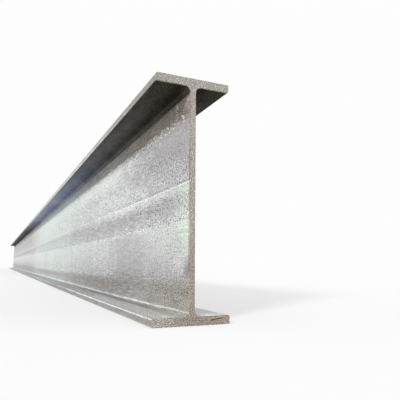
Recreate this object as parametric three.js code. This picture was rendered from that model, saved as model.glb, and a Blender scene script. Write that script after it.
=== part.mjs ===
// Steel H-beam: one hot-rolled length of narrow-flange section, with parallel flanges and square-sawn ends.
// Millimetres, +Z up. X runs across the flanges and Y along the beam. The origin is at mid-length and
// mid-width, on the level floor that the bottom flange lies on.

import * as THREE from "three";

// Driving dimensions of the rolled section, the 305 x 102 serial size at 33 kg/m.
const SECTION_DEPTH = 312.7; // outer face of one flange to outer face of the other
const FLANGE_WIDTH = 102.4; // toe to toe
const FLANGE_THICKNESS = 10.8; // the same from root to toe, as the flanges have no taper
const WEB_THICKNESS = 6.6;
const ROOT_RADIUS = 7.6; // fillet that the rolls leave between web and flange
const TOE_RADIUS = 1.5; // corner that the rolls leave on each edge of a flange toe
const BEAM_LENGTH = 6000; // stock length

// Straight facets along each rounded corner of the section.
const FACETS_PER_CORNER = 6;

// Mill-scaled steel: dull silver grey, with little shine left under the scale and dust.
const MILL_SCALED_STEEL = new THREE.MeshStandardMaterial({ color: 0xa8a6a0, roughness: 0.62, metalness: 0.55 });

// The twelve square corners of the section, counter-clockwise from the bottom right, each with the radius
// that rounds it: eight outer corners on the flange toes and four inner ones at the roots of the web.
function sectionCorners() {
  const toe = FLANGE_WIDTH / 2;
  const webFace = WEB_THICKNESS / 2;
  const bottomFlangeTop = FLANGE_THICKNESS;
  const topFlangeUnderside = SECTION_DEPTH - FLANGE_THICKNESS;
  const rightHalf = [
    { x: toe, z: 0, radius: TOE_RADIUS },
    { x: toe, z: bottomFlangeTop, radius: TOE_RADIUS },
    { x: webFace, z: bottomFlangeTop, radius: ROOT_RADIUS },
    { x: webFace, z: topFlangeUnderside, radius: ROOT_RADIUS },
    { x: toe, z: topFlangeUnderside, radius: TOE_RADIUS },
    { x: toe, z: SECTION_DEPTH, radius: TOE_RADIUS },
  ];
  const leftHalf = rightHalf.map((corner) => ({ ...corner, x: -corner.x })).reverse();
  return [...rightHalf, ...leftHalf];
}

// Joins square corners by straight runs and rounds each with a true arc that is tangent to both of its runs.
function roundedOutline(corners) {
  const outline = new THREE.Shape();
  corners.forEach((corner, index) => {
    const previous = corners.at(index - 1);
    const next = corners[(index + 1) % corners.length];
    const toPrevious = new THREE.Vector2(previous.x - corner.x, previous.z - corner.z).setLength(corner.radius);
    const toNext = new THREE.Vector2(next.x - corner.x, next.z - corner.z).setLength(corner.radius);
    const arcCentre = new THREE.Vector2(corner.x, corner.z).add(toPrevious).add(toNext);
    const startAngle = toNext.clone().negate().angle();
    const endAngle = toPrevious.clone().negate().angle();
    const isInnerCorner = toPrevious.cross(toNext) > 0;
    outline.absarc(arcCentre.x, arcCentre.y, corner.radius, startAngle, endAngle, isInnerCorner);
  });
  outline.closePath();
  return outline;
}

// Pulls the section out along the beam's length and lays the beam on its bottom flange.
function rolledBeam() {
  const geometry = new THREE.ExtrudeGeometry(roundedOutline(sectionCorners()), {
    depth: BEAM_LENGTH,
    curveSegments: FACETS_PER_CORNER,
    bevelEnabled: false,
  });
  const beam = new THREE.Mesh(geometry, MILL_SCALED_STEEL);
  beam.name = "h_beam";
  beam.rotation.x = Math.PI / 2; // the section's own upward axis becomes Z, and its length runs back along Y
  beam.position.y = BEAM_LENGTH / 2;
  return beam;
}

const group = new THREE.Group();
group.add(rolledBeam());

export default group;
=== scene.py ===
"""Dresses one stock length of hot-rolled steel H-beam and sets it on a plain studio floor.

Metres, +Z up. X runs across the flanges and Y along the beam, whose near end is at the lowest Y. The beam's
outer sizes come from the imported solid, and the rolled details are the section's own.
"""

from __future__ import annotations

import logging
import math
from dataclasses import dataclass
from enum import Enum
from typing import ClassVar

import bpy
from mathutils import Matrix, Vector

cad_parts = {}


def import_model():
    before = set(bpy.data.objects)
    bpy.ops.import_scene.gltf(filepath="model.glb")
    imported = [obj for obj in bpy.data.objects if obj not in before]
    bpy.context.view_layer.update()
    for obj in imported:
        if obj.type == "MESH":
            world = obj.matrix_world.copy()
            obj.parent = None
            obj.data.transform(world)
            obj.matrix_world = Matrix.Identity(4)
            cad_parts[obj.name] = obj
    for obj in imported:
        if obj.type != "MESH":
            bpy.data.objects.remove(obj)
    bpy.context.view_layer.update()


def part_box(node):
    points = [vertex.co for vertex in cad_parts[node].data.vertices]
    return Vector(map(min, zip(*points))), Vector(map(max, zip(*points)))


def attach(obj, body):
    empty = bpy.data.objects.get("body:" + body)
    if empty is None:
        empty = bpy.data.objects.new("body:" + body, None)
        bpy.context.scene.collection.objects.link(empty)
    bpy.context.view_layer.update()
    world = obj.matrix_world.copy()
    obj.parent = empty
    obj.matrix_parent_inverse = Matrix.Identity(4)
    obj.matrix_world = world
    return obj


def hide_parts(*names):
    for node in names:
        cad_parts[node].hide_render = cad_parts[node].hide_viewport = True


MM = 0.001
BODY = "root"
CAD_NODE = "h_beam"
EXPORT_MAP = "OFBake"  # the UV map that an export paints through
PICTURE_SIDE_PX = 400.0  # a side of the square render
SENSOR_MM = 36.0  # width of the camera's sensor

LOG = logging.getLogger("h_beam")


def linear_rgba(hex_colour: str) -> tuple[float, float, float, float]:
    """Turns an sRGB hex colour into Blender's linear colour.

    Args:
        hex_colour: The colour as "#RRGGBB".

    Returns:
        Linear red, green and blue, and an alpha of 1.
    """
    channels = [int(hex_colour[i : i + 2], 16) / 255.0 for i in (1, 3, 5)]
    # the standard curve of sRGB, straight near black
    red, green, blue = (c / 12.92 if c <= 0.04045 else ((c + 0.055) / 1.055) ** 2.4 for c in channels)
    return red, green, blue, 1.0


def feed(tree: bpy.types.NodeTree, socket: bpy.types.NodeSocket, value: object) -> None:
    """Feeds an input of a node.

    Args:
        tree: The node's tree.
        socket: The input.
        value: A plain value, an output socket, or a node, of which the first output in use is taken.
    """
    if isinstance(value, bpy.types.Node):
        value = next(output for output in value.outputs if output.enabled)
    if isinstance(value, bpy.types.NodeSocket):
        tree.links.new(value, socket)
    else:
        socket.default_value = value


def add_node(
    tree: bpy.types.NodeTree,
    kind: str,
    inputs: dict[str | int, object] | None = None,
    **settings: object,
) -> bpy.types.Node:
    """Adds a node, sets its properties and feeds its inputs.

    Args:
        tree: The node tree that gets the node.
        kind: Blender's name for the node, such as "ShaderNodeMath".
        inputs: What feeds each input, by its name or index.
        **settings: Properties of the node itself, such as operation.

    Returns:
        The new node.
    """
    node = tree.nodes.new(kind)
    for name, value in settings.items():
        setattr(node, name, value)
    for key, value in (inputs or {}).items():
        named = (socket for socket in node.inputs if socket.name == key and socket.enabled)
        feed(tree, node.inputs[key] if isinstance(key, int) else next(named), value)
    return node


@dataclass(frozen=True)
class Section:
    """The rolled section and its stock length, in metres.

    Attributes:
        width: Across the flanges.
        depth: From the lower flange's outer face to the upper one's.
        length: From one sawn end to the other.
        flange_thickness: The same for both flanges, which don't taper.
        web_thickness: Of the upright web between them.
        root_radius: Of the fillets where the web runs into the flanges.
        toe_radius: Of the rolled corners at the flanges' outer edges.
    """

    width: float
    depth: float
    length: float
    flange_thickness: float = 10.8 * MM
    web_thickness: float = 6.6 * MM
    root_radius: float = 7.6 * MM
    toe_radius: float = 1.5 * MM

    @classmethod
    def from_frame(cls) -> Section:
        """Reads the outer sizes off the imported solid."""
        low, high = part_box(CAD_NODE)
        return cls(width=high.x - low.x, depth=high.z - low.z, length=high.y - low.y)


class Facing(Enum):
    """Which way a face must turn to be picked: the axis of its normal, its sign, and how far at least."""

    ALONG = ("Y", 0.0, 0.5)
    DOWN = ("Z", -1.0, 0.05)


@dataclass(frozen=True)
class RolledBeam:
    """One rolled length with both sawn ends, swept by Geometry Nodes and made one plain mesh.

    Attributes:
        section: Sizes of the rolled section and its length.
        finishes: The materials of the rolled skin, of its sheltered undersides and of the sawn ends.
        corner_facets: Faces round each corner of the section.
        stations: Sections that the beam is swept through.
        evenness: How evenly the stations are spaced. Less than 1 crowds them towards the near end.
        wave_height: How far hot rolling sank the faces at most.
        wave_length: Size of its waves.
        burr_radius: The saw's burr at its thickest.
        burr_step: Length of one of its faces.
        burr_length: Size of its lumps along the edge.
        burr_facets: Faces round it.
        seed: What the waves and the burr are drawn from.
    """

    CORNERS: ClassVar[int] = 12  # of the section, before they are rounded
    SKIN_SHARE: ClassVar[float] = 0.825  # height of the export map given to the skin, under the sawn ends
    MAP_MARGIN: ClassVar[float] = 0.008  # clear strip round each part of the export map
    WRAPPED: ClassVar[float] = 0.25  # a corner this far behind its face's mean has passed the last point
    SHARP_DEG: ClassVar[float] = 40.0  # between two faces, from which their edge is shaded sharp
    BURR_GAPS: ClassVar[float] = 0.35  # noise below this leaves the edge almost bare
    BURR_FULL: ClassVar[float] = 0.7  # noise above this gives the burr its whole thickness
    BURR_LEAST: ClassVar[float] = 0.1  # share of its thickness that a bare stretch keeps
    BURR_REACH: ClassVar[float] = 2.1  # burr radii from an end within which all is the saw's work
    BURR_OFF_TOES: ClassVar[float] = 1.0 * MM  # from the flanges' outer edges, which hold no burr

    section: Section
    finishes: dict[str, bpy.types.Material]
    corner_facets: int = 8
    stations: int = 320
    evenness: float = 0.15
    wave_height: float = 0.2 * MM
    wave_length: float = 160.0 * MM
    burr_radius: float = 0.5 * MM
    burr_step: float = 1.5 * MM
    burr_length: float = 7.0 * MM
    burr_facets: int = 5
    seed: int = 11

    def _inputs(self) -> dict[str, float | int | bpy.types.Material]:
        """Names everything that the sweep is given.

        Returns:
            The value of each input of the node tree, by the input's name.
        """
        section = self.section
        return {
            "Width": section.width,
            "Depth": section.depth,
            "Length": section.length,
            "Flange Thickness": section.flange_thickness,
            "Web Thickness": section.web_thickness,
            "Root Radius": section.root_radius,
            "Toe Radius": section.toe_radius,
            "Corner Facets": self.corner_facets,
            "Stations": self.stations,
            "Evenness": self.evenness,
            "Wave Height": self.wave_height,
            "Wave Length": self.wave_length,
            "Burr Radius": self.burr_radius,
            "Burr Step": self.burr_step,
            "Burr Length": self.burr_length,
            "Burr Facets": self.burr_facets,
            "Seed": self.seed,
            **self.finishes,
        }

    def build(self) -> bpy.types.Object:
        """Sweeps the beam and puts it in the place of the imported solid.

        Returns:
            The finished piece.
        """
        tree = bpy.data.node_groups.new("rolled_beam_sweep", "GeometryNodeTree")
        sockets = {float: "NodeSocketFloat", int: "NodeSocketInt", bpy.types.Material: "NodeSocketMaterial"}
        for name, value in self._inputs().items():
            tree.interface.new_socket(name, in_out="INPUT", socket_type=sockets[type(value)])
        tree.interface.new_socket("Beam", in_out="OUTPUT", socket_type="NodeSocketGeometry")
        sizes = add_node(tree, "NodeGroupInput").outputs
        outline = self._outline(tree, sizes)
        joined = add_node(tree, "GeometryNodeJoinGeometry", {0: self._rolled_length(tree, sizes, outline)})
        feed(tree, joined.inputs[0], self._burrs(tree, sizes, outline))
        realized = add_node(tree, "GeometryNodeRealizeInstances", {0: joined})
        add_node(tree, "NodeGroupOutput", {0: self._dressed(tree, sizes, realized)})
        return self._bake(tree)

    def _outline(self, tree: bpy.types.NodeTree, sizes: bpy.types.NodeOutputs) -> bpy.types.Node:
        """Draws the section's outline, flat in X and Y, and rounds its corners.

        The corners are counted from the bottom left, up the left half and down the right one, so a corner
        and its mirror image are equally far from the two ends of the count. A profile's Y turns into
        downward when it is swept along +Y, so heights are drawn as negative Y.

        Args:
            tree: The sweep's node tree.
            sizes: The tree's named inputs.

        Returns:
            The closed outline curve.
        """
        index = add_node(tree, "GeometryNodeInputIndex")
        rest = add_node(tree, "ShaderNodeMath", {0: self.CORNERS - 1.0, 1: index}, operation="SUBTRACT")
        corner = add_node(tree, "ShaderNodeMath", {0: index, 1: rest}, operation="MINIMUM")
        lead = add_node(tree, "ShaderNodeMath", {0: index, 1: rest}, operation="SUBTRACT")
        side = add_node(tree, "ShaderNodeMath", {0: lead}, operation="SIGN")
        toe = add_node(tree, "ShaderNodeMath", {0: sizes["Width"], 1: 0.5}, operation="MULTIPLY")
        web = add_node(tree, "ShaderNodeMath", {0: sizes["Web Thickness"], 1: 0.5}, operation="MULTIPLY")
        low, top = sizes["Flange Thickness"], sizes["Depth"]
        high = add_node(tree, "ShaderNodeMath", {0: top, 1: low}, operation="SUBTRACT")
        root_radius, toe_radius = sizes["Root Radius"], sizes["Toe Radius"]
        picked = []
        for values in (
            (toe, toe, web, web, toe, toe),
            (0.0, low, low, high, high, top),
            (toe_radius, toe_radius, root_radius, root_radius, toe_radius, toe_radius),
        ):
            pick = add_node(tree, "GeometryNodeIndexSwitch", {"Index": corner}, data_type="FLOAT")
            for place, value in enumerate(values):
                if place > 1:
                    pick.index_switch_items.new()
                feed(tree, pick.inputs[place + 1], value)
            picked.append(pick)
        across, height, radius = picked
        mirrored = add_node(tree, "ShaderNodeMath", {0: across, 1: side}, operation="MULTIPLY")
        downward = add_node(tree, "ShaderNodeMath", {0: height, 1: -1.0}, operation="MULTIPLY")
        place = add_node(tree, "ShaderNodeCombineXYZ", {"X": mirrored, "Y": downward})
        ring = add_node(tree, "GeometryNodeCurvePrimitiveCircle", {"Resolution": self.CORNERS})
        square = add_node(tree, "GeometryNodeSetPosition", {"Geometry": ring, "Position": place})
        return add_node(
            tree,
            "GeometryNodeFilletCurve",
            {"Curve": square, "Count": sizes["Corner Facets"], "Radius": radius},
            mode="POLY",
        )

    def _rolled_length(
        self, tree: bpy.types.NodeTree, sizes: bpy.types.NodeOutputs, outline: bpy.types.Node
    ) -> bpy.types.Node:
        """Sweeps the outline along the stock length, with the rolls' slight waves and a cap on each end.

        Args:
            tree: The sweep's node tree.
            sizes: The tree's named inputs.
            outline: The section's outline curve.

        Returns:
            The beam without its burrs, and mapped.
        """
        line = add_node(tree, "GeometryNodeCurvePrimitiveLine", {"End": (0.0, 1.0, 0.0)})
        path = add_node(tree, "GeometryNodeResampleCurve", {"Curve": line, "Count": sizes["Stations"]})
        share = add_node(tree, "GeometryNodeSplineParameter").outputs["Factor"]
        even = add_node(tree, "ShaderNodeMix", {"Factor": sizes["Evenness"], "A": share, "B": 1.0})
        crowded = add_node(tree, "ShaderNodeMath", {0: share, 1: even}, operation="MULTIPLY")
        centred = add_node(tree, "ShaderNodeMath", {0: crowded, 1: 0.5}, operation="SUBTRACT")
        along = add_node(tree, "ShaderNodeMath", {0: centred, 1: sizes["Length"]}, operation="MULTIPLY")
        station = add_node(tree, "ShaderNodeCombineXYZ", {"Y": along})
        route = add_node(tree, "GeometryNodeSetPosition", {"Geometry": path, "Position": station})
        kept_route, share_kept = self._kept(tree, route, share)
        kept_outline, girth_kept = self._kept(tree, outline, share)
        ends = {"Curve": kept_route, "Profile Curve": kept_outline, "Fill Caps": True}
        swept = add_node(tree, "GeometryNodeCurveToMesh", ends)
        return self._export_map(tree, sizes, self._waves(tree, sizes, swept), share_kept, girth_kept)

    def _dressed(
        self, tree: bpy.types.NodeTree, sizes: bpy.types.NodeOutputs, beam: bpy.types.Node
    ) -> bpy.types.Node:
        """Gives every face its finish. All that lies within a burr's thickness of an end is sawn.

        Args:
            tree: The sweep's node tree.
            sizes: The tree's named inputs.
            beam: The whole beam.

        Returns:
            The beam with its finishes.
        """
        position = add_node(tree, "GeometryNodeInputPosition")
        parts = add_node(tree, "ShaderNodeSeparateXYZ", {0: position}).outputs
        off = add_node(tree, "ShaderNodeMath", {0: parts["Y"]}, operation="ABSOLUTE")
        half = add_node(tree, "ShaderNodeMath", {0: sizes["Length"], 1: 0.5}, operation="MULTIPLY")
        inner = {0: sizes["Burr Radius"], 1: -self.BURR_REACH, 2: half}
        burred = add_node(tree, "ShaderNodeMath", inner, operation="MULTIPLY_ADD")
        sawn = add_node(tree, "ShaderNodeMath", {0: off, 1: burred}, operation="GREATER_THAN")
        for pick, finish in (
            (True, "Rolled Skin"),
            (self._faces(tree, Facing.DOWN), "Sheltered Skin"),
            (sawn, "Sawn End"),
        ):
            chosen = {"Geometry": beam, "Selection": pick, "Material": sizes[finish]}
            beam = add_node(tree, "GeometryNodeSetMaterial", chosen)
        return beam

    def _kept(
        self, tree: bpy.types.NodeTree, curve: bpy.types.Node, value: bpy.types.NodeSocket
    ) -> tuple[bpy.types.Node, bpy.types.NodeSocket]:
        """Keeps a value of a curve's points, so that the mesh swept from the curve can read it.

        Args:
            tree: The sweep's node tree.
            curve: The curve whose points hold the value.
            value: The value as a field.

        Returns:
            The curve with the value on it, and the value to read later.
        """
        keep = add_node(tree, "GeometryNodeCaptureAttribute", {"Geometry": curve}, domain="POINT")
        keep.capture_items.new("FLOAT", "Value")
        feed(tree, keep.inputs["Value"], value)
        return keep, keep.outputs["Value"]

    def _faces(self, tree: bpy.types.NodeTree, facing: Facing) -> bpy.types.Node:
        """Picks the faces that turn squarely enough one way, either way where the sign is 0.

        Args:
            tree: The sweep's node tree.
            facing: The way that the faces turn.

        Returns:
            The pick, as a field.
        """
        axis, sign, least = facing.value
        normal = add_node(tree, "GeometryNodeInputNormal")
        part = add_node(tree, "ShaderNodeSeparateXYZ", {0: normal}).outputs[axis]
        turning = "MULTIPLY" if sign else "ABSOLUTE"
        turned = add_node(tree, "ShaderNodeMath", {0: part, 1: sign}, operation=turning)
        return add_node(tree, "ShaderNodeMath", {0: turned, 1: least}, operation="GREATER_THAN")

    def _waves(
        self, tree: bpy.types.NodeTree, sizes: bpy.types.NodeOutputs, beam: bpy.types.Node
    ) -> bpy.types.Node:
        """Sinks the rolled faces by the slight, slow unevenness that hot rolling leaves.

        Args:
            tree: The sweep's node tree.
            sizes: The tree's named inputs.
            beam: The swept mesh.

        Returns:
            The mesh with its waves.
        """
        pitch = add_node(tree, "ShaderNodeMath", {0: 1.0, 1: sizes["Wave Length"]}, operation="DIVIDE")
        swell = {"W": sizes["Seed"], "Scale": pitch, "Detail": 1.0}
        noise = add_node(tree, "ShaderNodeTexNoise", swell, noise_dimensions="4D")
        sink = add_node(tree, "ShaderNodeMath", {0: noise, 1: sizes["Wave Height"]}, operation="MULTIPLY")
        normal = add_node(tree, "GeometryNodeInputNormal")
        into_steel = {0: normal, 1: (-1.0, 0.0, -1.0)}
        inward = add_node(tree, "ShaderNodeVectorMath", into_steel, operation="MULTIPLY")
        offset = add_node(tree, "ShaderNodeVectorMath", {0: inward, "Scale": sink}, operation="SCALE")
        return add_node(tree, "GeometryNodeSetPosition", {"Geometry": beam, "Offset": offset})

    def _burrs(
        self, tree: bpy.types.NodeTree, sizes: bpy.types.NodeOutputs, outline: bpy.types.Node
    ) -> bpy.types.Node:
        """Runs a ragged ridge of burr round the inner edges of each sawn end.

        Args:
            tree: The sweep's node tree.
            sizes: The tree's named inputs.
            outline: The section's outline curve.

        Returns:
            Both burrs, mapped.
        """
        steps = {"Curve": outline, "Length": sizes["Burr Step"]}
        fine = add_node(tree, "GeometryNodeResampleCurve", steps, mode="LENGTH")
        turned = {"Geometry": fine, "Rotation": (-math.pi / 2, 0.0, 0.0)}
        upright = add_node(tree, "GeometryNodeTransform", turned)
        half = add_node(tree, "ShaderNodeMath", {0: sizes["Length"], 1: 0.5}, operation="MULTIPLY")
        inset = add_node(tree, "ShaderNodeMath", {0: half, 1: sizes["Burr Radius"]}, operation="SUBTRACT")
        edges = add_node(tree, "GeometryNodeJoinGeometry")
        for end in (-1.0, 1.0):
            along = add_node(tree, "ShaderNodeMath", {0: inset, 1: end}, operation="MULTIPLY")
            place = add_node(tree, "ShaderNodeCombineXYZ", {"Y": along})
            edge = add_node(tree, "GeometryNodeTransform", {"Geometry": upright, "Translation": place})
            feed(tree, edges.inputs[0], edge)
        ring = {"Resolution": sizes["Burr Facets"], "Radius": 1.0}
        profile = add_node(tree, "GeometryNodeCurvePrimitiveCircle", ring)
        ridged = {"Curve": edges, "Profile Curve": profile, "Scale": self._burr_thickness(tree, sizes)}
        ridge = add_node(tree, "GeometryNodeCurveToMesh", ridged)
        return add_node(
            tree,
            "GeometryNodeStoreNamedAttribute",
            {"Geometry": ridge, "Name": EXPORT_MAP, "Value": self._end_places(tree, sizes)},
            data_type="FLOAT2",
            domain="CORNER",
        )

    def _burr_thickness(self, tree: bpy.types.NodeTree, sizes: bpy.types.NodeOutputs) -> bpy.types.Node:
        """Makes the burr come and go along the edge, and keeps it off the outer faces and the toes.

        Args:
            tree: The sweep's node tree.
            sizes: The tree's named inputs.

        Returns:
            The ridge's radius as a field.
        """
        pitch = add_node(tree, "ShaderNodeMath", {0: 1.0, 1: sizes["Burr Length"]}, operation="DIVIDE")
        lumps = {"W": sizes["Seed"], "Scale": pitch, "Detail": 3.0}
        noise = add_node(tree, "ShaderNodeTexNoise", lumps, noise_dimensions="4D")
        ragged = add_node(
            tree,
            "ShaderNodeMapRange",
            {
                "Value": noise,
                "From Min": self.BURR_GAPS,
                "From Max": self.BURR_FULL,
                "To Min": self.BURR_LEAST,
            },
        )
        position = add_node(tree, "GeometryNodeInputPosition")
        parts = add_node(tree, "ShaderNodeSeparateXYZ", {0: position}).outputs
        across = add_node(tree, "ShaderNodeMath", {0: parts["X"]}, operation="ABSOLUTE")
        half_width = {0: sizes["Width"], 1: 0.5, 2: -self.BURR_OFF_TOES}
        reach = add_node(tree, "ShaderNodeMath", half_width, operation="MULTIPLY_ADD")
        off_toes = add_node(tree, "ShaderNodeMath", {0: across, 1: reach}, operation="LESS_THAN")
        middle = add_node(tree, "ShaderNodeMath", {0: sizes["Depth"], 1: 0.5}, operation="MULTIPLY")
        from_middle = add_node(tree, "ShaderNodeMath", {0: parts["Z"], 1: middle}, operation="SUBTRACT")
        up_or_down = add_node(tree, "ShaderNodeMath", {0: from_middle}, operation="ABSOLUTE")
        half_flange = {0: sizes["Flange Thickness"], 1: -0.5, 2: middle}
        cover = add_node(tree, "ShaderNodeMath", half_flange, operation="MULTIPLY_ADD")
        between = add_node(tree, "ShaderNodeMath", {0: up_or_down, 1: cover}, operation="LESS_THAN")
        inner = add_node(tree, "ShaderNodeMath", {0: off_toes, 1: between}, operation="MULTIPLY")
        shown = add_node(tree, "ShaderNodeMath", {0: ragged, 1: inner}, operation="MULTIPLY")
        return add_node(tree, "ShaderNodeMath", {0: shown, 1: sizes["Burr Radius"]}, operation="MULTIPLY")

    def _export_map(
        self,
        tree: bpy.types.NodeTree,
        sizes: bpy.types.NodeOutputs,
        beam: bpy.types.Node,
        share: bpy.types.NodeSocket,
        girth: bpy.types.NodeSocket,
    ) -> bpy.types.Node:
        """Lays the skin out flat, length by girth, and the sawn ends side by side above it.

        The girth starts again at its first point, so the corners of that last strip of faces that read 0
        are put at 1, which they are told by from the mean of their face.

        Args:
            tree: The sweep's node tree.
            sizes: The tree's named inputs.
            beam: The swept mesh.
            share: How far along the stations each point is, 0 to 1.
            girth: How far round the outline each point is, 0 to 1.

        Returns:
            The mesh with its map.
        """
        mean = add_node(tree, "GeometryNodeFieldOnDomain", {0: girth}, data_type="FLOAT", domain="FACE")
        behind = add_node(tree, "ShaderNodeMath", {0: mean, 1: girth}, operation="SUBTRACT")
        wraps = add_node(tree, "ShaderNodeMath", {0: behind, 1: self.WRAPPED}, operation="GREATER_THAN")
        unwrapped = add_node(tree, "ShaderNodeMath", {0: girth, 1: wraps}, operation="ADD")
        margin, top = self.MAP_MARGIN, self.SKIN_SHARE - self.MAP_MARGIN
        along = {"Value": share, "To Min": margin, "To Max": 1.0 - margin}
        right = add_node(tree, "ShaderNodeMapRange", along)
        up = add_node(tree, "ShaderNodeMapRange", {"Value": unwrapped, "To Min": margin, "To Max": top})
        on_skin = add_node(tree, "ShaderNodeCombineXYZ", {"X": right, "Y": up})
        sawn, on_end = self._faces(tree, Facing.ALONG), self._end_places(tree, sizes)
        either = {"Factor": sawn, "A": on_skin, "B": on_end}
        place = add_node(tree, "ShaderNodeMix", either, data_type="VECTOR")
        return add_node(
            tree,
            "GeometryNodeStoreNamedAttribute",
            {"Geometry": beam, "Name": EXPORT_MAP, "Value": place},
            data_type="FLOAT2",
            domain="CORNER",
        )

    def _end_places(self, tree: bpy.types.NodeTree, sizes: bpy.types.NodeOutputs) -> bpy.types.Node:
        """Places a sawn end on the export map, lying on its side: the near end left, the far end right.

        Args:
            tree: The sweep's node tree.
            sizes: The tree's named inputs.

        Returns:
            The place on the map, as a field.
        """
        position = add_node(tree, "GeometryNodeInputPosition")
        parts = add_node(tree, "ShaderNodeSeparateXYZ", {0: position}).outputs
        half = add_node(tree, "ShaderNodeMath", {0: sizes["Width"], 1: 0.5}, operation="MULTIPLY")
        minus_half = add_node(tree, "ShaderNodeMath", {0: half, 1: -1.0}, operation="MULTIPLY")
        margin = self.MAP_MARGIN
        height = add_node(
            tree,
            "ShaderNodeMapRange",
            {"Value": parts["Z"], "From Max": sizes["Depth"], "To Min": margin, "To Max": 0.5 - margin},
        )
        far = add_node(tree, "ShaderNodeMath", {0: parts["Y"], 1: 0.0}, operation="GREATER_THAN")
        right = add_node(tree, "ShaderNodeMath", {0: far, 1: 0.5, 2: height}, operation="MULTIPLY_ADD")
        up = add_node(
            tree,
            "ShaderNodeMapRange",
            {
                "Value": parts["X"],
                "From Min": minus_half,
                "From Max": half,
                "To Min": self.SKIN_SHARE + margin,
                "To Max": 1.0 - margin,
            },
        )
        return add_node(tree, "ShaderNodeCombineXYZ", {"X": right, "Y": up})

    def _bake(self, tree: bpy.types.NodeTree) -> bpy.types.Object:
        """Runs the sweep once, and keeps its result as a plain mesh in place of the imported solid.

        Args:
            tree: The finished node tree.

        Returns:
            The piece, riding on its body.
        """
        beam = bpy.data.objects.new("rolled_h_beam", bpy.data.meshes.new("rolled_h_beam"))
        bpy.context.scene.collection.objects.link(beam)
        sweep = beam.modifiers.new("sweep", "NODES")
        sweep.node_group = tree
        values = self._inputs()
        for socket in tree.interface.items_tree:
            if socket.in_out == "INPUT":
                sweep[socket.identifier] = values[socket.name]
        beam.data = self._evaluated(beam)
        beam.modifiers.remove(sweep)
        beam.data.materials.pop(index=0)  # the sweep puts an empty slot before its materials
        beam.data.shade_smooth()
        beam.data.set_sharp_from_angle(angle=math.radians(self.SHARP_DEG))
        weighting = beam.modifiers.new("level_flats", "WEIGHTED_NORMAL")
        weighting.keep_sharp = True
        beam.data = self._evaluated(beam)
        beam.modifiers.remove(weighting)
        beam.data.name = beam.name
        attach(beam, BODY)
        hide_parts(CAD_NODE)
        return beam

    def _evaluated(self, piece: bpy.types.Object) -> bpy.types.Mesh:
        """Returns the mesh that a piece's modifiers make."""
        graph = bpy.context.evaluated_depsgraph_get()
        return bpy.data.meshes.new_from_object(piece.evaluated_get(graph), depsgraph=graph)


Stops = tuple[tuple[float, float], ...]
Shades = tuple[tuple[float, str], ...]
Fed = bpy.types.Node | bpy.types.NodeSocket | float | tuple[float, ...]

# edges that lie off the beam, in mm: short of its near end or its foot, over its top, and past its far end
BEFORE = -99.0
ABOVE = 400.0
BEYOND = 9999.0
PALE_STOP = 2400.0  # mm from the near end, to where the beam is painted paler than elsewhere, for weathering and for the sheen of grazing light
PALE_FADE = 1200.0  # mm over which that ends
FOOT_TOP = 60.0  # mm above the floor, between the lower flange and the upper one

GLAZED = {"data_type": "RGBA", "blend_type": "MULTIPLY"}  # a mix that lays a colour on like a glaze


class Run(Enum):
    """What the long edges of a stripe are measured by."""

    UP = "up from the floor"
    ACROSS = "out from the web's middle"
    OUTWARD = "out from the web's middle, on the lower flange alone"


class Pattern(Enum):
    """What a stripe is filled with."""

    PLAIN = "plain"
    CRUMBS = "crumbs"
    STREAKS = "streaks"
    SMEARS = "smears"
    RUNS = "runs"
    PITS = "pits"
    PATCHES = "patches"


@dataclass(frozen=True)
class Stripe:
    """A stripe along the skin, in millimetres.

    Attributes:
        low: Its lower or inner edge.
        high: Its other edge.
        fade: How far each edge fades.
        start: Where it starts, from the near end.
        stop: Where it ends, from the near end.
        run_out: How far each of its ends fades.
        shift: How much lighter, or darker below 0, it makes the skin.
        calm: How much of the skin's speckle it takes away.
        wash: Colour that it lays over the skin like a glaze.
        ragged: How raggedly its edges wander, as a share of what is usual.
        run: What its edges are measured by.
        pattern: What fills it.
    """

    low: float
    high: float
    fade: float
    start: float
    stop: float
    run_out: float
    shift: float = 0.0
    calm: float = 0.0
    wash: str | None = None
    ragged: float = 0.0
    run: Run = Run.UP
    pattern: Pattern = Pattern.PLAIN


@dataclass(frozen=True)
class Stain:
    """A soft round stain, seen on every face that it reaches, in millimetres.

    Attributes:
        centre: Its middle: across, from the near end, and up.
        radius: How far it reaches.
        colour: Its colour.
        strength: How much it hides at its middle.
        edge: Share of the radius at which it is half gone.
        softness: Share of the radius over which it fades.
        lump: Size of the lumps that make its edge ragged.
    """

    centre: tuple[float, float, float]
    radius: float
    colour: str
    strength: float
    edge: float = 0.6
    softness: float = 0.8
    lump: float = 4.0


# rust-mauve, on the sawn web and round its edge
END_STAIN = Stain((-3.3, 8.5, 67.0), 13.0, "#7C7076", 0.55)


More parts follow.
